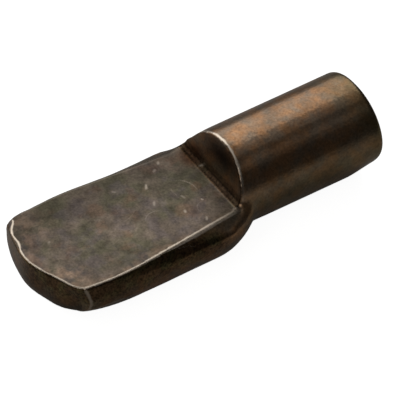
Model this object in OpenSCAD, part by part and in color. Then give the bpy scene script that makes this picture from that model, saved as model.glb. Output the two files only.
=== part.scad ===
// Shelf support pin, pressed from one piece of round bar.
// The pin goes into a hole in a cabinet side and the shelf lies on the flat top of the blade.
// The origin is on the pin's axis, at the mouth of its hole, where the neck ends.
// +X runs out of the pin's free end and +Z is the normal of the flat.

/* [Pin] */
// Diameter of the pin
pin_d = 6.35; // [4:0.05:12]
// Length of the pin, from the hole's mouth to its free end
pin_len = 9.25; // [5:0.1:25]
// Rounding of the free end's rim
rim_r = 0.4; // [0.1:0.05:1]

/* [Neck] */
// Length of the neck, from the shoulder's foot to the hole's mouth
neck_len = 1.25; // [0.8:0.05:2]
// How much the bar's radius has shrunk where it enters the blade
neck_slim = 0.12; // [0.02:0.01:0.3]

/* [Blade] */
// Length of the blade, from the shoulder's foot to the crown of its nose
blade_len = 13.3; // [9:0.1:25]
// Width of the flat where it is widest
blade_w = 8; // [6.8:0.05:14]
// Distance from the shoulder to the widest place
wide_at = 9.1; // [5:0.1:15]
// Radius of the flat's outline around the widest place
flank_r = 16; // [8:0.5:40]
// Height of the flat above the pin's axis
flat_z = 0.4; // [0:0.05:1]
// Depth of the belly below the pin's axis
belly_z = 3.3; // [2.5:0.05:7]
// Depth of the belly below the pin's axis at the nose
tip_z = 1.7; // [1:0.05:2.4]
// Distance from the shoulder at which the belly starts to rise
rise_at = 4.7; // [0:0.1:7]
// Squareness of the belly's section: 2 is an ellipse
belly_n = 2.6; // [2:0.1:5]

/* [Bulged sides] */
// How far the sides stand out below the flat's edge, at the shoulder
neck_bulge = 1.2; // [0.1:0.05:1.5]
// How far the sides stand out below the flat's edge, at the nose
tip_bulge = 0.2; // [0:0.05:1]
// How fast the bulge swells towards the shoulder: 1 is evenly
bulge_n = 1.8; // [1:0.1:4]
// Depth of the widest place below the flat, at the shoulder
neck_drop = 0.75; // [0.4:0.05:2]
// Depth of the widest place below the flat, at the nose
tip_drop = 1.35; // [0.3:0.05:1.6]
// Radius in which the bulge runs out onto the pin
lobe_r = 4.9; // [3:0.1:8]
// Distance from the shoulder at which the bulge starts to run out
lobe_at = 1.7; // [1:0.1:2.5]
// How far the bulge's end leans back lower down, in degrees
lobe_lean = 9.5; // [0:0.5:20]

/* [Nose] */
// Radius of the nose's outline
nose_r = 6.9; // [6:0.1:15]
// Sideways place of the nose's crown
nose_y = 0.6; // [-1:0.1:1]
// Depth of the nose's upright wall below the pin's axis
nose_wall = 1.05; // [0.2:0.05:1.5]
// Rounding between the nose's wall and the belly
nose_under = 2.5; // [1.6:0.1:4]

/* [Shoulder] */
// Lean of the shoulder's face towards the pin, in degrees
shoulder_lean = 14; // [0:0.5:30]
// Fillet between the flat and the shoulder's face
foot_r = 0.5; // [0.1:0.05:1]

/* [Hidden] */
$fn = 96;
over = 1; // what a cutting body stands past what it cuts
bar_in = 1.2; // how far the round bar runs on inside the blade
run_share = 0.82; // share of its radius over which the bulge runs out before the bar hides it
stations = 44; // sections along the blade
upper_steps = 4; // points on a section between the flat's edge and its widest place
lower_steps = 11; // points on a section between its widest place and the belly
pin_r = pin_d / 2;
// The flat starts at the shoulder as wide as the pin is at that height
neck_half = sqrt(pow(pin_r, 2) - pow(flat_z, 2));
blade_half = blade_w / 2;
// The outline is a straight flank from the shoulder, tangent to an arc around the widest place
flank_c = [wide_at, blade_half - flank_r];
to_c = flank_c - [0, neck_half];
flare = atan2(to_c.y, to_c.x) + asin(flank_r / norm(to_c));
tangent_at = wide_at - flank_r * sin(flare);
// The belly is level, then rises to the nose along an arc
rise = belly_z - tip_z;
rise_run = blade_len - rise_at;
rise_r = (pow(rise_run, 2) + pow(rise, 2)) / (2 * rise);
// The loft starts inside the pin and ends past the nose, which trims it
loft_back = run_share * lobe_r - lobe_at;
loft_front = -blade_len - over;

function arc_fall(d, r) = r - sqrt(max(pow(r, 2) - pow(max(d, 0), 2), 0));
function part_way(x, at_neck, at_tip, n = 1) =
    at_tip + (at_neck - at_tip) * pow(1 - min(max(-x / blade_len, 0), 1), n);
function flat_half(x) = -x < tangent_at
    ? neck_half - x * tan(flare)
    : blade_half - arc_fall(-x - wide_at, flank_r) - arc_fall(wide_at + x, flank_r);
function run_out(x) = arc_fall(x + lobe_at, lobe_r);
function bulge(x) = part_way(x, neck_bulge, tip_bulge, bulge_n);
function widest_half(x) = flat_half(x) + bulge(x) - run_out(x);
function widest_z(x) = flat_z - part_way(x, neck_drop, tip_drop);
function belly_depth(x) = belly_z - arc_fall(-x - rise_at, rise_r) - run_out(x);

function leant(p) = [p.x + (p.z - flat_z) * tan(lobe_lean), p.y, p.z];

// Half of a section at x, from the flat's edge round to the middle of the belly
function side_points(x) = [
    for (i = [0 : upper_steps - 1]) let (t = i / upper_steps, w = flat_half(x))
        leant([x, w + (widest_half(x) - w) * sin(90 * t), flat_z + (widest_z(x) - flat_z) * t]),
    for (i = [0 : lower_steps])
        let (
            a = 90 * i / lower_steps,
            half = widest_half(x),
            depth = belly_depth(x) + widest_z(x),
            reach = pow(pow(cos(a) / half, belly_n) + pow(sin(a) / depth, belly_n), -1 / belly_n)
        )
        leant([x, reach * cos(a), widest_z(x) - reach * sin(a)]),
];
function mirrored_back(points) = [
    for (i = [len(points) - 2 : -1 : 0]) [points[i].x, -points[i].y, points[i].z]
];
function section(x) = let (side = side_points(x)) concat(side, mirrored_back(side));

// Closed skin through the sections, from the pin towards the nose
module loft() {
    rings = [for (i = [0 : stations]) section(loft_back + (loft_front - loft_back) * i / stations)];
    n = len(rings[0]);
    skin = [
        for (i = [0 : stations - 1], j = [0 : n - 1])
            let (a = i * n + j, b = i * n + (j + 1) % n)
            each [[a, a + n, b], [b, a + n, b + n]],
    ];
    back = [for (j = [0 : n - 1]) j];
    front = [for (j = [n - 1 : -1 : 0]) stations * n + j];
    polyhedron(points = [for (ring = rings) each ring], faces = concat(skin, [back, front]));
}

// Half of the nose's outline turned about its own centre: an upright wall, rounded in underneath
module nose_profile() {
    depth = belly_z + over;
    translate([0, -nose_wall]) square([nose_r, nose_wall + flat_z]);
    translate([0, -depth]) square([nose_r - nose_under, depth]);
    intersection() {
        translate([nose_r - nose_under, -nose_wall]) circle(nose_under);
        translate([nose_r - nose_under - over, -depth]) square([nose_under + over, depth]);
    }
}

module nose_trim() {
    centre_x = nose_r - blade_len;
    translate([centre_x, nose_y, 0]) rotate_extrude() nose_profile();
    depth = belly_z + over;
    translate([centre_x, -blade_w, -depth]) cube([blade_len + lobe_r, 2 * blade_w, depth + flat_z]);
}

module blade() {
    intersection() {
        loft();
        nose_trim();
    }
}

// Side view of what is pressed away over the flat, rounded where the shoulder meets the flat
module pressed_away() {
    top = pin_r + over;
    foot_back = foot_r * tan(45 - shoulder_lean / 2);
    foot_c = [-foot_back, flat_z + foot_r];
    foot_up = [foot_back * sin(shoulder_lean), flat_z + foot_back * cos(shoulder_lean)];
    shoulder_top = [(top - flat_z) * tan(shoulder_lean), top];
    rotate([90, 0, 0]) linear_extrude(height = pin_d + 2 * over, center = true) {
        difference() {
            polygon([[-bar_in - over, flat_z], [0, flat_z], shoulder_top, [-bar_in - over, top]]);
            polygon([foot_c, [-foot_back, flat_z], [0, flat_z], foot_up]);
        }
        translate(foot_c) circle(foot_r);
    }
}

// Half of the bar, with its neck: along Y from inside the blade to the free end
module bar_profile() {
    end = neck_len + pin_len;
    rim_c = [pin_r - rim_r, end - rim_r];
    polygon([
        [0, -bar_in], [pin_r - neck_slim, -bar_in], [pin_r, neck_len],
        [pin_r, rim_c.y], rim_c, [rim_c.x, end], [0, end],
    ]);
    translate(rim_c) circle(rim_r);
}

module bar() {
    difference() {
        rotate([0, 90, 0]) rotate([0, 0, 180]) rotate_extrude() bar_profile();
        pressed_away();
    }
}

// Bar and blade are drawn from the shoulder's foot and then set behind the hole's mouth
module shelf_pin() {
    color("#5b4c3e") translate([-neck_len, 0, 0]) {
        bar();
        blade();
    }
}

shelf_pin();
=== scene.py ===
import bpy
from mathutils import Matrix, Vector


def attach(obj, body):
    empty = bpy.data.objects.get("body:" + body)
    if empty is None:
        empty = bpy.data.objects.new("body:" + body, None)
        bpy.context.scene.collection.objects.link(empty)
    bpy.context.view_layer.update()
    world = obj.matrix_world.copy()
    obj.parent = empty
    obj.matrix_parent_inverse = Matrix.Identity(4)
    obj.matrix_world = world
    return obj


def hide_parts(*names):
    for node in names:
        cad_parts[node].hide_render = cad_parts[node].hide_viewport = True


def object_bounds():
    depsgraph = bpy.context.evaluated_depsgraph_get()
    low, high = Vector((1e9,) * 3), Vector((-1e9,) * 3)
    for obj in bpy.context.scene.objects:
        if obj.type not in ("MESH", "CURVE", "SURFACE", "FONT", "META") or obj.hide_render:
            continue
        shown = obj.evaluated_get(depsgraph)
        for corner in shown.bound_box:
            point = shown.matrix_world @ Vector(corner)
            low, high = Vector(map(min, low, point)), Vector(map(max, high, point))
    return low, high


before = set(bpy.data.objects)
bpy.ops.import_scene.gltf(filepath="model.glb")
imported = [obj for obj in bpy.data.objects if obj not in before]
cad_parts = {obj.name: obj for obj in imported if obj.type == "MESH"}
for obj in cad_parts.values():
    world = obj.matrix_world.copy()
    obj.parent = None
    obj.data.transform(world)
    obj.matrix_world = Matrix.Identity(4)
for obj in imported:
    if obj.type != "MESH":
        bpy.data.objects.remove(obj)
cadBox = [list(corner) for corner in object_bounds()]

import math

import bmesh
import bpy
import numpy as np
from mathutils import Matrix, Vector, kdtree

mm = 0.001
mixA, mixB, mixResult = 6, 7, 2  # a Mix node's sockets for colours


# Turns an sRGB hex value to a linear colour with its alpha
def linear(hexValue):
    parts = [int(hexValue[i:i + 2], 16) / 255 for i in (1, 3, 5)]
    return (*[p / 12.92 if p <= 0.04045 else ((p + 0.055) / 1.055) ** 2.4 for p in parts], 1)


# Adds a node with its settings and its links
def addNode(tree, kind, inputs=None, **settings):
    node = tree.nodes.new("ShaderNode" + kind)
    for name, value in settings.items():
        setattr(node, name, value)
    for name, value in (inputs or {}).items():
        if isinstance(value, bpy.types.NodeSocket):
            tree.links.new(value, node.inputs[name])
        else:
            node.inputs[name].default_value = value
    return node


def newMaterial(name):
    material = bpy.data.materials.new(name)
    material.use_nodes = True
    material.node_tree.nodes.clear()
    return material, material.node_tree


def makeActive(piece):
    bpy.ops.object.select_all(action="DESELECT")
    piece.select_set(True)
    bpy.context.view_layer.objects.active = piece


def applyModifier(piece, kind, **settings):
    makeActive(piece)
    modifier = piece.modifiers.new(kind.title(), kind)
    for name, value in settings.items():
        setattr(modifier, name, value)
    bpy.ops.object.modifier_apply(modifier=modifier.name)


# The pressed pin, in mm and degrees. Bearings on the nose start at its crown, and the near side is -Y
pin = {
    # the solid's own measures, by which the marks are placed
    "flatHeight": 0.4,       # above the pin's axis
    "freeEnd": 9.25,         # end of the shank
    "shankRadius": 3.175,
    "noseCentre": (-7.65, 0.6),  # centre of the nose's outline
    "noseRadius": 6.9,

    # the skin
    "weld": 0.001,
    "voxel": 0.084,          # size of the skin's faces
    "edgeRounds": 5,         # smoothing passes that take the corners off
    "blendRounds": 220,      # smoothing passes where the blade's sides run out onto the shank

    # what the press and the drum did to the nose: bearing and spread, then how far the flat's edge
    # and the wall under it stand out
    "noseDents": [
        (33, 5, 0.26, 0.07),
        (15, 6, -0.02, 0.0),
        (-3, 9, 0.10, 0.11),
        (-22, 6, -0.06, 0.04),
        (-34, 5, 0.10, -0.08),
    ],
    # where the nose's edge is rolled over: bearing, spread and width
    "noseRolls": [
        (28, 6, 0.34),
        (10, 4.5, 0.14),
    ],
    "rollDepth": 0.3,        # how deep a roll is for its width
    "thinnestRoll": 0.02,
    "endRoll": 0.23,         # how far the free end is battered in on its lower near side
    "endRollAround": (50, 28),   # degrees from straight down towards the near side, and spread
    "endRollLength": 2.3,
    "endSlant": 0.17,        # how much further the near side of the end reaches
    "footBurr": (-1.1, 3.15, 0.6),   # metal pushed up at the shoulder's far foot
    "footBurrPush": (0.0, 0.3, 0.12),
    "footBurrSpread": 0.7,

    # the edges that the drum rubbed, and a painted highlight along the crease
    "sharpAngle": 24,        # edges sharper than this get rubbed
    "pointGap": 0.03,        # between the points that mark them
    "touch": 0.05,           # nearer than this counts as on it
    "facesUp": 0.7,          # how far a face looks up, above which it counts as the flat's
    "facesNose": -0.5,       # how far a face looks to the free end, below which it is the shoulder's
    "plainShank": (-0.25, 8.25),     # x, between which there are no edges
    "flatEdgeEnd": -1.15,    # x, as far as the flat's edges go towards the shoulder
    "rimFrom": 7.75,         # x, where the free end's rim begins
    "shoulderEdgeFrom": 0.5,     # z, where the shoulder's edge begins
    "rubTip": 1.0,           # how far each edge is rubbed bright
    "rubNear": 0.9,
    "rubFar": 0.1,
    "rubRidge": 0.32,        # down the nose's wall
    "rubShoulder": 1.0,
    "rubRim": 0.15,
    # how strong the painted highlight along the crease is
    "creaseHighlight": 0.06,
    "sideLine": ((-6.25, -1.25), (1, 0.15)),     # x and share: the side lines fade to the shoulder
    "shoulderLine": ((1.268, 2.5), (0.12, 1)),   # z and share: the shoulder's line fades to its feet
    "lineReach": 1.5,        # how far from an edge its line is looked for
    "farOff": 2.0,           # the distance that stands for no line
    "tipLine": (0, 32, 1.0),     # bearings from and to, and depth, where the tip's line is drawn afresh
    "creaseAt": -1.55,       # x of the painted highlight line at the foot of the shoulder
    "creaseTop": 0.6,        # z above which there is no crease
    "creaseFaces": 0.6,      # how far a face looks up, above which it can carry the crease
    "ridgeShift": 0.02,
    # how fast the distance to a line counts: below 1 the line is broader, above 1 finer
    "shoulderFine": 0.75,
    "ridgeFine": 0.7,
    "creaseFine": 1.5,
    "nickFine": 0.85,
    "scratchFine": 1.6,

    # nicks in the oxide of the flat and the shoulder: from, to and strength
    "nicks": [
        ((-2.76, -1.24, 0.4), (-2.80, -1.16, 0.4), 0.5),
        ((-4.25, -1.55, 0.4), (-4.22, -1.45, 0.4), 0.35),
        ((-3.63, -2.44, 0.4), (-3.57, -2.40, 0.4), 0.45),
        ((-3.40, -2.62, 0.4), (-3.52, -2.84, 0.4), 0.25),
        ((-4.97, 1.74, 0.4), (-5.14, 1.46, 0.4), 0.35),
        ((-5.38, 0.22, 0.4), (-5.52, -0.02, 0.4), 0.22),
        ((-6.90, 2.20, 0.4), (-7.02, 2.34, 0.4), 0.16),
        ((-12.65, 0.75, 0.4), (-12.58, 0.83, 0.4), 0.14),
        ((-3.68, -0.25, 0.4), (-3.60, -0.50, 0.4), 0.18),
        ((-3.26, 3.00, 0.4), (-3.36, 2.84, 0.4), 0.22),
        ((-3.80, 2.53, 0.4), (-3.95, 2.45, 0.4), 0.15),
        ((-1.17, 1.00, 0.8), (-1.36, 1.28, 0.44), 0.16),
    ],
    "nickReach": 0.3,
    # curved hairline scratches on the flat: centre, radius, bearings from and to, strength
    "scratches": [
        ((-3.9, -0.1), 1.35, -20, 75, 0.18),
        ((-3.1, 0.3), 0.85, 150, 235, 0.18),
        ((-6.0, -1.25), 0.8, 20, 165, 0.14),
        ((-7.9, 1.4), 1.6, 250, 320, 0.07),
        ((-10.4, -1.0), 2.2, 35, 80, 0.07),
        ((-2.9, -1.9), 0.6, 60, 200, 0.09),
    ],
    "scratchFaces": 0.9,     # how far a face looks up, above which it can be scratched
    "scratchReach": 0.25,
    "scratchClear": 0.3,     # how far scratches stay off the rubbed lines

    "shoulderFrom": (-1.85, 0.3),    # x and z past which faces belong to the shoulder
    "shoulderShare": 0.3,    # above these a point is oxidised as the shoulder or the fillet is
    "filletShare": 0.1,
    # how strong the thick oxide, partly painted shade, and the nearly black painted shade are, from 0 to 1
    "wallOxideAndShade": (0.05, 0.85),   # oxide at the bottom of the walls, and how much more painted shade at their top, under the flat's edge
    "farNoseBare": 0.6,      # how much of it is gone round the far side of the nose
    "shoulderOxide": 0.05,
    # painted shade in the fillet's crease, in the coat of thick oxide
    "filletBrownShade": 0.8,
    # nearly black painted shade: in the fillet's crease, high on the shoulder's face, by the nose, under the
    # flat's near edge and at the neck
    "filletBlackShade": 0.82,
    "shoulderShade": 0.95,
    "shoulderShadeAcross": (-0.4, 2.6),   # middle and spread
    "shoulderShadeUp": (2.3, 0.95),
    "nearNoseShade": 0.16,
    "underEdgeShade": 0.4,
    "flankShade": 0.2,        # painted shade under the flat's near edge, by the nose
    "noseFootShade": 0.5,     # painted shade low on the nose's wall
    "nearCorner": -37.5,     # bearing of the corner between the nose and the near side
    "neckShade": 0.1,
    "neckShadePlace": (-0.2, -3.3, -0.4),     # where painted shade darkens the near side of the neck
    "neckShadeSpread": 0.7,

    # where each smoothing or mark starts and where it is full
    "ramps": {
        "blendFrom": (-2.4, -1.6),       # x
        "blendTo": (1.2, 0.4),           # x
        "blendBelow": (0.3, -0.1),       # z
        "blendBeside": (2.9, 3.2),       # y, on either side
        "blendPastFoot": (-1.65, -1.15),     # x
        "rollHeight": (-0.4, 0.2),       # z
        "dentWall": (0.4, -0.9),         # z
        "dentInward": (2.2, 0.2),        # in from the outline
        "tipLineEnd": (29, 26.5),        # bearing
        "creaseEnd": (0.4, -1.4),        # y
        "flatFaces": (0.75, 0.95),       # how far a face looks up
        "flatEnd": (-1.47, -1.57),       # x
        "wallFrom": (-2.05, -3.85),      # x
        "wallTop": (-1.7, -0.3),         # z
        "shoulderFaces": (0.1, -0.3),    # how far a face looks to the free end
        "noseFrom": (-9.15, -11.15),     # x
        "farNose": (-8, 17),             # bearing
        "filletFaces": (-0.1, 0.6),      # how far a face looks up
        "filletSide": (0.6, 0.4),        # how far a face looks sideways
        "filletTop": (1.2, 0.9),         # z
        "filletFrom": (-1.75, -1.55),    # x
        "underEdge": (-0.9, -0.1),       # z
        "underEdgeTo": (-7.5, -4.5),     # x
        "underEdgeFrom": (-1.7, -2.5),   # x
        "noseFoot": (-0.2, -1.4),        # z
        "nearSide": (0.5, -0.5),         # y
    },
}


def smoothStep(x):
    t = np.clip(x, 0, 1)
    return t * t * (3 - 2 * t)


# Goes smoothly from 0 to 1 between the two ends of a ramp
def ramp(x, name):
    start, full = pin["ramps"][name]
    return smoothStep((x - start) / (full - start))


# Is 1 in the middle and falls away to both sides
def hump(x, middle, spread):
    return np.exp(-((x - middle) / spread) ** 2)


# Is 1 in the centre and falls away all around it
def ball(co, centre, spread):
    return np.exp(-((co - np.array(centre)) ** 2).sum(1) / spread ** 2)


def readPoints(mesh, what="co"):
    values = np.empty(len(mesh.vertices) * 3)
    mesh.vertices.foreach_get(what, values)
    return values.reshape(-1, 3)


# Points along the sharp outer edges
def sharpEdgePoints(mesh):
    bm = bmesh.new()
    bm.from_mesh(mesh)
    points = []
    for edge in bm.edges:
        if len(edge.link_faces) != 2 or edge.calc_face_angle_signed() < math.radians(pin["sharpAngle"]):
            continue
        a, b = (v.co for v in edge.verts)
        steps = max(int((b - a).length / pin["pointGap"]), 1)
        points += [a.lerp(b, i / steps) for i in range(steps + 1)]
    bm.free()
    return points


# Smooths only where the weights say
def smoothPart(piece, weights, rounds):
    group = piece.vertex_groups.new(name="blend")
    for i in np.nonzero(weights > 0.01)[0]:     # less than that doesn't show
        group.add([int(i)], float(weights[i]), "REPLACE")
    applyModifier(piece, "SMOOTH", factor=0.5, iterations=rounds, vertex_group="blend")
    piece.vertex_groups.clear()


# A fine even skin over a copy of the solid, worked on in mm, and points along the solid's sharp edges
def denseSkin():
    piece = bpy.data.objects.new("BronzePin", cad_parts["shelf_pin"].data.copy())
    bpy.context.scene.collection.objects.link(piece)
    piece.data.materials.clear()
    piece.data.transform(Matrix.Scale(1 / mm, 4))
    makeActive(piece)
    bpy.ops.object.mode_set(mode="EDIT")
    bpy.ops.mesh.select_all(action="SELECT")
    bpy.ops.mesh.remove_doubles(threshold=pin["weld"])
    bpy.ops.object.mode_set(mode="OBJECT")
    edges = sharpEdgePoints(piece.data)
    applyModifier(piece, "REMESH", mode="VOXEL", voxel_size=pin["voxel"], adaptivity=0)
    applyModifier(piece, "SMOOTH", factor=0.5, iterations=pin["edgeRounds"])
    return piece, edges


# Runs the blade's bulged sides softly out onto the shank
def blendLobes(piece):
    x, y, z = readPoints(piece.data).T
    beside = ramp(np.abs(y), "blendBeside") * ramp(x, "blendPastFoot")
    along = ramp(x, "blendFrom") * ramp(x, "blendTo")
    smoothPart(piece, np.maximum(ramp(z, "blendBelow"), beside) * along, pin["blendRounds"])


# Bearing from the nose's crown, and how far out from the centre of its outline
def aroundNose(co):
    x, y = co[:, 0] - pin["noseCentre"][0], co[:, 1] - pin["noseCentre"][1]
    return np.degrees(np.arctan2(y, -x)), np.hypot(x, y)


def rollWidth(bearing):
    return sum(width * hump(bearing, at, spread) for at, spread, width in pin["noseRolls"])


def dentNose(co):
    bearing, out = aroundNose(co)
    atNose = co[:, 0] < pin["noseCentre"][0]
    inward = pin["noseRadius"] - out
    roll = rollWidth(bearing)
    down = pin["rollDepth"] * roll * (1 - smoothStep(inward / np.maximum(roll, pin["thinnestRoll"])))
    co[:, 2] -= down * atNose * ramp(co[:, 2], "rollHeight")
    low = ramp(co[:, 2], "dentWall")
    push = sum(hump(bearing, at, spread) * (edge * (1 - low) + wall * low)
               for at, spread, edge, wall in pin["noseDents"])
    push = push * ramp(inward, "dentInward") * atNose / out
    co[:, 0] += push * (co[:, 0] - pin["noseCentre"][0])
    co[:, 1] += push * (co[:, 1] - pin["noseCentre"][1])


def dentShank(co):
    radius = np.maximum(np.hypot(co[:, 1], co[:, 2]), 0.1)  # never 0, as it divides
    around = np.degrees(np.arctan2(-co[:, 1], -co[:, 2]))   # 0 is straight down, 90 the near side
    along = smoothStep((co[:, 0] - pin["freeEnd"] + pin["endRollLength"]) / pin["endRollLength"])
    pull = pin["endRoll"] * hump(around, *pin["endRollAround"]) * along * (radius / pin["shankRadius"]) ** 2
    co[:, 0] -= pin["endSlant"] * along * co[:, 1] / pin["shankRadius"] * (co[:, 1] < 0)
    co[:, 1:] *= (1 - pull / radius)[:, None]
    co += ball(co, pin["footBurr"], pin["footBurrSpread"])[:, None] * np.array(pin["footBurrPush"])


# How far an edge is rubbed at p, and which edge it is
def rubAt(p):
    onFlat = abs(p.z - pin["flatHeight"]) < pin["touch"] and p.x < pin["flatEdgeEnd"]
    atNose = p.x < pin["noseCentre"][0]
    fromNose = math.hypot(p.x - pin["noseCentre"][0], p.y - pin["noseCentre"][1])
    if p.x > pin["rimFrom"]:
        return pin["rubRim"], "rim"
    if onFlat and atNose and abs(fromNose - pin["noseRadius"]) < pin["touch"]:
        return pin["rubTip"], "tip"
    if onFlat:
        return (pin["rubFar"] if p.y > 0 else pin["rubNear"]) * np.interp(p.x, *pin["sideLine"]), "side"
    if atNose:
        return pin["rubRidge"], "ridge"
    if p.z > pin["shoulderEdgeFrom"]:
        return pin["rubShoulder"] * np.interp(p.z, *pin["shoulderLine"]), "shoulder"
    return 0, "none"


# Per point: how bare the nearest rubbed line is, and on the crease how strong its painted highlight line is,
# and the distance to that line's corner, which is below 0 on the corner's other face, where the line doesn't
# show
def bareAndHighlightLines(co, normals, edges):
    x, y, z = co.T
    facesUp = normals[:, 2] > pin["facesUp"]
    bearing, out = aroundNose(co)
    outline = np.abs(pin["noseRadius"] - out)
    bareAndLit, edge = np.zeros(len(co)), np.full(len(co), pin["farOff"])
    tree = kdtree.KDTree(len(edges))
    for i, p in enumerate(edges):
        tree.insert(p, i)
    tree.balance()
    plainFrom, plainTo = pin["plainShank"]
    for i in np.nonzero((x < plainFrom) | (x > plainTo))[0]:
        nearest, _, distance = tree.find(Vector(co[i]))
        if distance >= pin["lineReach"]:
            continue
        bareAndLit[i], kind = rubAt(nearest)
        if kind == "tip":
            distance = (outline[i] if facesUp[i] else -distance) - rollWidth(bearing[i])
        elif kind == "side" and not facesUp[i]:
            distance = -distance
        elif kind == "shoulder":
            distance *= -pin["shoulderFine"] if normals[i, 0] < pin["facesNose"] else pin["shoulderFine"]
        elif kind == "ridge":
            distance = bronze["rubShift"] + pin["ridgeShift"] - distance * pin["ridgeFine"]
        edge[i] = distance
    # the tip's line runs on to the far corner and fades there
    start, end, depth = pin["tipLine"]
    onTip = facesUp & (z > 0) & (x < pin["noseCentre"][0]) & (out > pin["noseRadius"] - depth)
    onTip &= (bearing > start) & (bearing < end)
    edge[onTip] = outline[onTip] - rollWidth(bearing[onTip])
    bareAndLit[onTip] = pin["rubTip"] * ramp(bearing[onTip], "tipLineEnd")
    # a painted highlight: a faint light line drawn where the flat starts to rise to the shoulder
    crease = np.abs(x - pin["creaseAt"]) * pin["creaseFine"] + bronze["rubShift"]
    onCrease = (normals[:, 2] > pin["creaseFaces"]) & (z < pin["creaseTop"]) & (crease < np.abs(edge))
    bareAndLit[onCrease] = pin["creaseHighlight"] * ramp(y[onCrease], "creaseEnd")
    edge[onCrease] = crease[onCrease]
    return bareAndLit, edge


# Draws the nicks and scratches into the rubbed lines' masks
def markFlat(co, normals, bareAndLit, edge):
    for start, end, strength in pin["nicks"]:
        start, run = np.array(start), np.array(end) - np.array(start)
        t = np.clip(((co - start) @ run) / (run @ run), 0, 1)
        away = np.linalg.norm(co - start - t[:, None] * run, axis=1)
        near = away < pin["nickReach"]
        bareAndLit[near], edge[near] = strength, bronze["rubShift"] + away[near] * pin["nickFine"]
    for centre, radius, start, end, strength in pin["scratches"]:
        x, y = co[:, 0] - centre[0], co[:, 1] - centre[1]
        ahead = (np.degrees(np.arctan2(y, x)) - start) % 360
        away = np.abs(np.hypot(x, y) - radius)
        near = (away < pin["scratchReach"]) & (ahead < end - start)
        near &= (normals[:, 2] > pin["scratchFaces"]) & (np.abs(edge) > pin["scratchClear"])
        bareAndLit[near] = strength * np.sin(np.pi * ahead[near] / (end - start))
        edge[near] = bronze["rubShift"] + away[near] * pin["scratchFine"]


# Per point: where the flat is, where the oxide stayed thick, with painted shade added under the flat's edge
# and in the fillet, and where painted shade makes it nearly black
def finishAndShadeMasks(co, normals):
    x, y, z = co.T
    bearing, _ = aroundNose(co)
    flat = ramp(normals[:, 2], "flatFaces") * ramp(x, "flatEnd") * (z > 0)
    wall = (1 - flat) * ramp(x, "wallFrom")
    atNose = ramp(x, "noseFrom")
    fromX, fromZ = pin["shoulderFrom"]
    overFlat = z > fromZ
    shoulder = ramp(normals[:, 0], "shoulderFaces") * overFlat * (x > fromX)
    fillet = (1 - flat) * overFlat * ramp(x, "filletFrom") * ramp(z, "filletTop")
    fillet *= ramp(normals[:, 2], "filletFaces") * ramp(np.abs(normals[:, 1]), "filletSide")

    least, more = pin["wallOxideAndShade"]
    # the walls' oxide grows into painted shade towards their top, under the flat's edge, and the fillet's is
    # painted shade
    oxideAndShade = wall * (least + more * ramp(z, "wallTop"))
    oxideAndShade *= 1 - pin["farNoseBare"] * atNose * ramp(bearing, "farNose")
    atShoulder = (shoulder > pin["shoulderShare"]) | (fillet > pin["filletShare"])
    oxideAndShade = np.where(atShoulder, np.maximum(pin["shoulderOxide"], pin["filletBrownShade"] * fillet), oxideAndShade)

    # painted shade, nearly black: high on the shoulder's face, in the fillet, under the flat's near edge, low
    # on the nose's wall and at the neck
    paintedShade = shoulder * hump(y, *pin["shoulderShadeAcross"]) * hump(z, *pin["shoulderShadeUp"])
    paintedShade = pin["shoulderShade"] * paintedShade + pin["filletBlackShade"] * fillet
    underEdge = ramp(z, "underEdge") * ramp(x, "underEdgeTo") * ramp(x, "underEdgeFrom")
    nearSide = ramp(y, "nearSide") * (pin["nearNoseShade"] * atNose + pin["underEdgeShade"] * underEdge)
    onFlank, onNose = pin["flankShade"] * ramp(z, "underEdge"), pin["noseFootShade"] * ramp(z, "noseFoot")
    paintedShade += wall * (nearSide + atNose * np.where(bearing < pin["nearCorner"], onFlank, onNose))
    paintedShade += pin["neckShade"] * ball(co, pin["neckShadePlace"], pin["neckShadeSpread"])
    return flat, oxideAndShade, paintedShade


def makePin():
    piece, edges = denseSkin()
    blendLobes(piece)
    mesh = piece.data
    co, normals = readPoints(mesh), readPoints(mesh, "normal")
    bareAndLit, edge = bareAndHighlightLines(co, normals, edges)
    markFlat(co, normals, bareAndLit, edge)
    flat, oxideAndShade, paintedShade = finishAndShadeMasks(co, normals)
    masks = {"bareAndHighlight": bareAndLit, "edge": edge, "pressed": flat, "oxideAndShade": oxideAndShade, "paintedShade": paintedShade}
    # the masks are kept per point, so they move with the metal when it is dented
    dentNose(co)
    dentShank(co)
    mesh.vertices.foreach_set("co", co.ravel())
    for name, values in masks.items():
        attribute = mesh.attributes.new(name, "FLOAT", "POINT")
        attribute.data.foreach_set("value", values.astype(np.float32))
    mesh.transform(Matrix.Scale(mm, 4))
    makeActive(piece)
    bpy.ops.object.shade_smooth()
    triangles = sum(len(face.vertices) - 2 for face in mesh.polygons)
    print("pin skin:", len(mesh.vertices), "points,", triangles, "triangles")
    return piece


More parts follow.
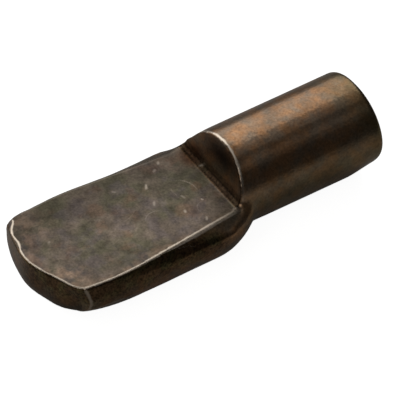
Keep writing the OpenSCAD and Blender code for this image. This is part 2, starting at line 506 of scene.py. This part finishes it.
# The finish
bronze = {
    "shank": "#95816d",      # rubbed copper brown of the round shank
    "shankCopper": "#ad835f",    # patches on it where the copper shows
    "shankOlive": "#726646",     # an olive tint towards the free end, and painted shade low on the shank
    "flat": "#6f6357",       # grey brown oxide on the flat
    "olive": "#5e5948",      # greener oxide
    "plum": "#625959",       # purple grey oxide
    "copper": "#765b49",     # patches where the copper shows
    "dark": "#644c33",       # thick oxide that the rubbing didn't reach, and painted shade under the flat's edge and in the fillet
    "oliveDark": "#665e3d",  # greener, in the same coat of oxide and painted shade
    "rust": "#633d23",       # orange brown stain at the shoulder's far foot
    "paintedShade": "#2d221a",       # nearly black painted shade, on the shoulder, in the fillet, at the neck and under the flat's edge
    "worn": "#97806c",       # thinner oxide beside the rubbed corners
    "bareAndHighlight": "#f3e3cf",     # bare metal along the edges, and the painted highlight along the crease
    "rubWidth": 0.1,         # mm, half width of the rubbed line
    "rubShift": 0.1,         # mm, how far the line lies in from the corner
    "roughness": 0.30,
    "flatRoughness": 0.40,
    "bump": (0.1, 0.02),     # strength of the grain's relief and its height in mm
    "stainDepth": (0.1, 0.2),    # how much the stains show anywhere, and how much more on the flat
    "grainDepth": (0.22, 0.45),  # how much the grain shows anywhere, and how much more in the thick oxide and painted shade
    "palePlace": (-8.8, -0.8, 0.4),  # mm, middle of the paler part of the flat
    "paleShape": (0.8, 2.0, 0.0),    # how fast it darkens along and across
    "paleReach": (1.0, 8.0),     # mm, between which it goes from the lighter to the darker share
    "paleLift": (0.2, -0.33),
    # wear, an olive tint and painted shade that grow over a distance: mm where they start and are full, and
    # how strong they get
    "besideEdge": (0.75, 0.1, 1),    # towards a rubbed line
    "oliveEnd": (6.5, 9.2, 0.85),    # x
    "shadeBelow": (2.2, 0.2, 0.6),   # z, painted shade low on the shank
    "shadeBelowFrom": (-3, 0.5),          # x, where the painted shade below begins
    # patches: place and reach in mm, how strong, and how they fade
    "patches": {
        "rust": ((-1.25, 2.2, 0.8), 1.3, 0.8, "SMOOTHSTEP"),
        "farCorner": ((-13.3, 2.7, 0.4), 2.4, 0.7, "LINEAR"),
        "nearCorner": ((-13.3, -2.3, 0.4), 1.8, 1.2, "LINEAR"),
    },
    "patchCore": 0.3,        # mm, within which a patch is at its full strength
    # each pattern's size in mm and detail, then the band of the noise that shows and what it becomes
    "patterns": {
        "cloud": (2.2, 3, 0.44, 0.58, 0, 0.9),
        "plumCloud": (1.1, 3, 0.5, 0.62, 0, 0.5),
        "copperCloud": (1.3, 3, 0.54, 0.64, 0, 0.4),
        "wornCloud": (0.7, 3, 0.43, 0.58, 0, 0.8),
        "oxideCloud": (0.9, 3, 0.45, 0.6, 0, 1),
        "copperStain": (1.0, 5, 0.41, 0.61, 0, 1),
        "darkStain": (0.6, 3, 0.3, 0.7, -1, 1),
        "slowStain": (1.5, 3, 0.3, 0.7, 0.82, 1.18),
        "grain": (0.14, 2, 0.3, 0.7, -1, 1),
        "ragged": (0.35, 3, 0.3, 0.7, 0.6, 1.5),
        "shankCloud": (1.2, 3, 0.4, 0.6, 0.6, 1.0),
    },
}


# Antique bronze: plated steel darkened in an oxide bath and relieved by tumbling, so the broad
# faces are mottled brown and the corners that rubbed in the drum are bare and bright
def antiqueBronze():
    material, tree = newMaterial("antiqueBronze")
    place = addNode(tree, "TexCoord").outputs["Object"]
    mask = {name: addNode(tree, "Attribute", attribute_name=name).outputs["Fac"]
            for name in ("pressed", "bareAndHighlight", "edge", "oxideAndShade", "paintedShade")}
    for seed, (name, pattern) in enumerate(bronze["patterns"].items(), 1):
        size, detail, low, high, bottom, top = pattern
        noise = {"Vector": place, "W": seed, "Scale": 1 / (size * mm), "Detail": detail}
        noise = addNode(tree, "TexNoise", noise, noise_dimensions="4D").outputs["Fac"]
        band = {"Value": noise, "From Min": low, "From Max": high, "To Min": bottom, "To Max": top}
        mask[name] = addNode(tree, "MapRange", band).outputs["Result"]
    for name, (spot, reach, most, fade) in bronze["patches"].items():
        spot = [c * mm for c in spot]
        away = addNode(tree, "VectorMath", {0: place, 1: spot}, operation="DISTANCE").outputs["Value"]
        near = {"Value": away, "From Min": reach * mm, "From Max": bronze["patchCore"] * mm, "To Max": most}
        mask[name] = addNode(tree, "MapRange", near, interpolation_type=fade).outputs["Result"]

    # wear beside the rubbed corners, an olive tint towards the free end, and painted shade low on the shank
    axis = addNode(tree, "SeparateXYZ", {"Vector": place}).outputs
    for name, distance, unit in (
        ("besideEdge", mask["edge"], 1),     # this mask counts in mm
        ("oliveEnd", axis["X"], mm),
        ("shadeBelow", axis["Z"], mm),
    ):
        start, full, most = bronze[name]
        grows = {"Value": distance, "From Min": start * unit, "From Max": full * unit, "To Max": most}
        mask[name] = addNode(tree, "MapRange", grows).outputs["Result"]
    start, full = bronze["shadeBelowFrom"]
    grows = {"Value": axis["X"], "From Min": start * mm, "From Max": full * mm, "To Max": mask["shadeBelow"]}
    mask["shadeBelow"] = addNode(tree, "MapRange", grows).outputs["Result"]

    # masks that are put together from others, step by step
    for name, a, b, operation in (
        ("oliveEndAndShadeBelow", "oliveEnd", "shadeBelow", "MAXIMUM"),
        ("oliveEndAndShadeBelow", "oliveEndAndShadeBelow", "shankCloud", "MULTIPLY"),
        ("corner", "farCorner", "nearCorner", "MAXIMUM"),
        ("corner", "corner", "wornCloud", "MULTIPLY"),
        ("beside", "besideEdge", "wornCloud", "MULTIPLY"),
        ("beside", "beside", "bareAndHighlight", "MULTIPLY"),
    ):
        mask[name] = addNode(tree, "Math", {0: mask[a], 1: mask[b]}, operation=operation).outputs["Value"]

    # one coat over another: its ground, then each mask with the colour that it brings
    flatLayers = [("cloud", "olive"), ("plumCloud", "plum"), ("copperCloud", "copper")]
    coats = {}
    for coat, under, layers in (
        # the shank: copper stains, an olive tint towards the free end and painted shade low down
        ("shank", "shank", [("copperStain", "shankCopper"), ("oliveEndAndShadeBelow", "shankOlive")]),
        ("flat", "flat", flatLayers + [("corner", "worn"), ("beside", "worn")]),
        ("oxideAndShadeCoat", "dark", [("oxideCloud", "oliveDark")]),
    ):
        coats[coat] = linear(bronze[under])
        for name, colour in layers:
            mixed = {"Factor": mask[name], mixA: coats[coat], mixB: linear(bronze[colour])}
            coats[coat] = addNode(tree, "Mix", mixed, data_type="RGBA").outputs[mixResult]
    ground = coats["shank"]
    for name, colour in (
        ("pressed", coats["flat"]),
        # thick oxide, and painted shade under the flat's edge and in the fillet
        ("oxideAndShade", coats["oxideAndShadeCoat"]),
        ("rust", linear(bronze["rust"])),
        # nearly black painted shade
        ("paintedShade", linear(bronze["paintedShade"])),
    ):
        mixed = {"Factor": mask[name], mixA: ground, mixB: colour}
        ground = addNode(tree, "Mix", mixed, data_type="RGBA").outputs[mixResult]

    # stains and grain: how strong they are depends on where the flat is and on the oxide and painted shade
    changes = []
    for pattern, where, setting in (("darkStain", "pressed", "stainDepth"), ("grain", "oxideAndShade", "grainDepth")):
        least, more = bronze[setting]
        depth = {0: mask[where], 1: more, 2: least}
        depth = addNode(tree, "Math", depth, operation="MULTIPLY_ADD").outputs["Value"]
        changes.append((mask[pattern], depth))
    # the flat is palest in the middle
    away = {0: place, 1: [c * mm for c in bronze["palePlace"]]}
    away = addNode(tree, "VectorMath", away, operation="SUBTRACT").outputs["Vector"]
    away = {0: away, 1: bronze["paleShape"]}
    away = addNode(tree, "VectorMath", away, operation="MULTIPLY").outputs["Vector"]
    away = addNode(tree, "VectorMath", {0: away}, operation="LENGTH").outputs["Value"]
    (near, far), (lighter, darker) = bronze["paleReach"], bronze["paleLift"]
    lift = {"Value": away, "From Min": near * mm, "From Max": far * mm, "To Min": lighter, "To Max": darker}
    changes.append((addNode(tree, "MapRange", lift).outputs["Result"], mask["pressed"]))
    shades = [mask["slowStain"]]
    for change, share in changes:
        shade = {0: change, 1: share, 2: 1.0}
        shades.append(addNode(tree, "Math", shade, operation="MULTIPLY_ADD").outputs["Value"])
    for shade in shades:
        shaded = {0: ground, "Scale": shade}
        ground = addNode(tree, "VectorMath", shaded, operation="SCALE").outputs["Vector"]

    # bare metal in a ragged line along the rubbed corners, and a faint painted highlight line along the
    # crease
    across = {0: mask["edge"], 1: bronze["rubShift"]}
    across = addNode(tree, "Math", across, operation="SUBTRACT").outputs["Value"]
    across = addNode(tree, "Math", {0: across}, operation="ABSOLUTE").outputs["Value"]
    halfWidth = {0: mask["ragged"], 1: bronze["rubWidth"]}
    halfWidth = addNode(tree, "Math", halfWidth, operation="MULTIPLY").outputs["Value"]
    line = {"Value": across, "From Min": halfWidth, "From Max": 0.0}
    line = addNode(tree, "MapRange", line, interpolation_type="SMOOTHSTEP").outputs["Result"]
    bareAndLitLine = addNode(tree, "Math", {0: line, 1: mask["bareAndHighlight"]}, operation="MULTIPLY").outputs["Value"]
    mixed = {"Factor": bareAndLitLine, mixA: ground, mixB: linear(bronze["bareAndHighlight"])}
    colour = addNode(tree, "Mix", mixed, data_type="RGBA").outputs[mixResult]

    rough = {"Value": mask["pressed"], "To Min": bronze["roughness"], "To Max": bronze["flatRoughness"]}
    rough = addNode(tree, "MapRange", rough).outputs["Result"]
    strength, height = bronze["bump"]
    bump = {"Height": mask["grain"], "Strength": strength, "Distance": height * mm}
    bump = addNode(tree, "Bump", bump).outputs["Normal"]
    metal = {"Base Color": colour, "Metallic": 1.0, "Roughness": rough, "Normal": bump}
    shader = addNode(tree, "BsdfPrincipled", metal)
    addNode(tree, "OutputMaterial", {"Surface": shader.outputs["BSDF"]})
    return material


piece = makePin()
piece.data.materials.append(antiqueBronze())
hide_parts("shelf_pin")
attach(piece, "root")
print("finish: antique bronze")

# The floor and the light
studio = {
    "floor": "#c4c4c2",
    "floorWhite": 0.94,      # how white the floor is to the camera before the light's own share
    "floorSize": 0.08,       # m
    "ambient": 0.02,         # the room's dim grey
    "mirrored": 0.01,        # how white the room is in the metal
    "softboxes": [           # bearing and height in degrees, width and height in m, radiance
        (66, 38.5, 0.72, 0.62, 1.05),    # mirrored by the flat and as the shank's light stripe
        (124, 25, 0.60, 0.42, 0.74),
        (2, 68, 0.20, 0.20, 0.2),
        (-45, 50, 0.28, 0.12, 0.2),
        (-135, 46, 0.50, 0.36, 0.7),
        (0, 90, 0.30, 0.30, 0.27),       # lights the flat when it is seen from above
    ],
    "softboxDistance": 0.6,  # m
}

# The camera and its long lens
lens = {
    "target": (-0.002165, -0.000010, -0.000974),     # m
    "azimuth": -33.58,       # degrees from looking along +Y
    "elevation": 44.48,      # degrees above the floor
    "roll": 0.20,            # degrees
    "distance": 0.52917,     # m
    "focal": 777.4,          # mm
    "sensor": 36,            # mm
}


# How white the background is to this ray: fully to the camera, and a little in the metal
def whiteShare(tree):
    path = addNode(tree, "LightPath").outputs
    mirrored = {0: path["Is Glossy Ray"], 1: path["Is Transmission Ray"]}
    mirrored = addNode(tree, "Math", mirrored, operation="ADD").outputs["Value"]
    share = {0: mirrored, 1: studio["mirrored"], 2: path["Is Camera Ray"]}
    return addNode(tree, "Math", share, operation="MULTIPLY_ADD").outputs["Value"]


def makeFloor():
    bpy.ops.mesh.primitive_plane_add(size=studio["floorSize"], location=(0, 0, cadBox[0][2]))
    floor = bpy.context.active_object
    floor.name = "Floor"
    material, tree = newMaterial("whitePaper")
    paper = addNode(tree, "BsdfDiffuse", {"Color": linear(studio["floor"])})
    glowing = {0: whiteShare(tree), 1: studio["floorWhite"]}
    glowing = addNode(tree, "Math", glowing, operation="MULTIPLY").outputs["Value"]
    glow = addNode(tree, "Emission", {"Color": (1, 1, 1, 1), "Strength": glowing})
    both = addNode(tree, "AddShader", {0: paper.outputs["BSDF"], 1: glow.outputs["Emission"]})
    clear = addNode(tree, "BsdfTransparent")
    under = addNode(tree, "NewGeometry").outputs["Backfacing"]   # so that the underside can be looked at
    sheet = addNode(tree, "MixShader", {0: under, 1: both.outputs["Shader"], 2: clear.outputs["BSDF"]})
    addNode(tree, "OutputMaterial", {"Surface": sheet.outputs["Shader"]})
    floor.data.materials.append(material)


def makeWorld():
    world = bpy.data.worlds.new("Room")
    bpy.context.scene.world = world
    world.use_nodes = True
    tree = world.node_tree
    tree.nodes.clear()
    dim, white = (addNode(tree, "Background", {"Color": (1, 1, 1, 1), "Strength": strength})
                  for strength in (studio["ambient"], 1.0))
    room = {0: whiteShare(tree), 1: dim.outputs["Background"], 2: white.outputs["Background"]}
    room = addNode(tree, "MixShader", room)
    addNode(tree, "OutputWorld", {"Surface": room.outputs["Shader"]})


def makeSoftbox(number, bearing, height, width, tall, radiance):
    a, e = math.radians(bearing), math.radians(height)
    out = Vector((math.cos(a) * math.cos(e), math.sin(a) * math.cos(e), math.sin(e)))
    data = bpy.data.lights.new("Softbox%d" % number, "AREA")
    data.shape = "RECTANGLE"
    data.size, data.size_y = width, tall
    data.energy = radiance * width * tall * math.pi     # the watts that give this radiance
    lamp = bpy.data.objects.new(data.name, data)
    bpy.context.scene.collection.objects.link(lamp)
    lamp.location = out * studio["softboxDistance"]
    lamp.rotation_euler = out.to_track_quat("Z", "Y").to_euler()
    lamp.visible_camera = False


def makeCamera():
    a, e, roll = (math.radians(lens[angle]) for angle in ("azimuth", "elevation", "roll"))
    back = Vector((math.sin(a) * math.cos(e), -math.cos(a) * math.cos(e), math.sin(e)))
    data = bpy.data.cameras.new("Camera")
    data.lens = lens["focal"]
    data.sensor_width = lens["sensor"]
    camera = bpy.data.objects.new("Camera", data)
    bpy.context.scene.collection.objects.link(camera)
    place = Matrix.Translation(Vector(lens["target"]) + back * lens["distance"])
    turn = Matrix.Rotation(a, 4, "Z") @ Matrix.Rotation(math.pi / 2 - e, 4, "X")
    camera.matrix_world = place @ turn @ Matrix.Rotation(roll, 4, "Z")
    bpy.context.scene.camera = camera


makeFloor()
makeWorld()
for number, softbox in enumerate(studio["softboxes"]):
    makeSoftbox(number, *softbox)
makeCamera()
bpy.context.scene.view_settings.view_transform = "Standard"
print("stage: floor, softboxes and camera")
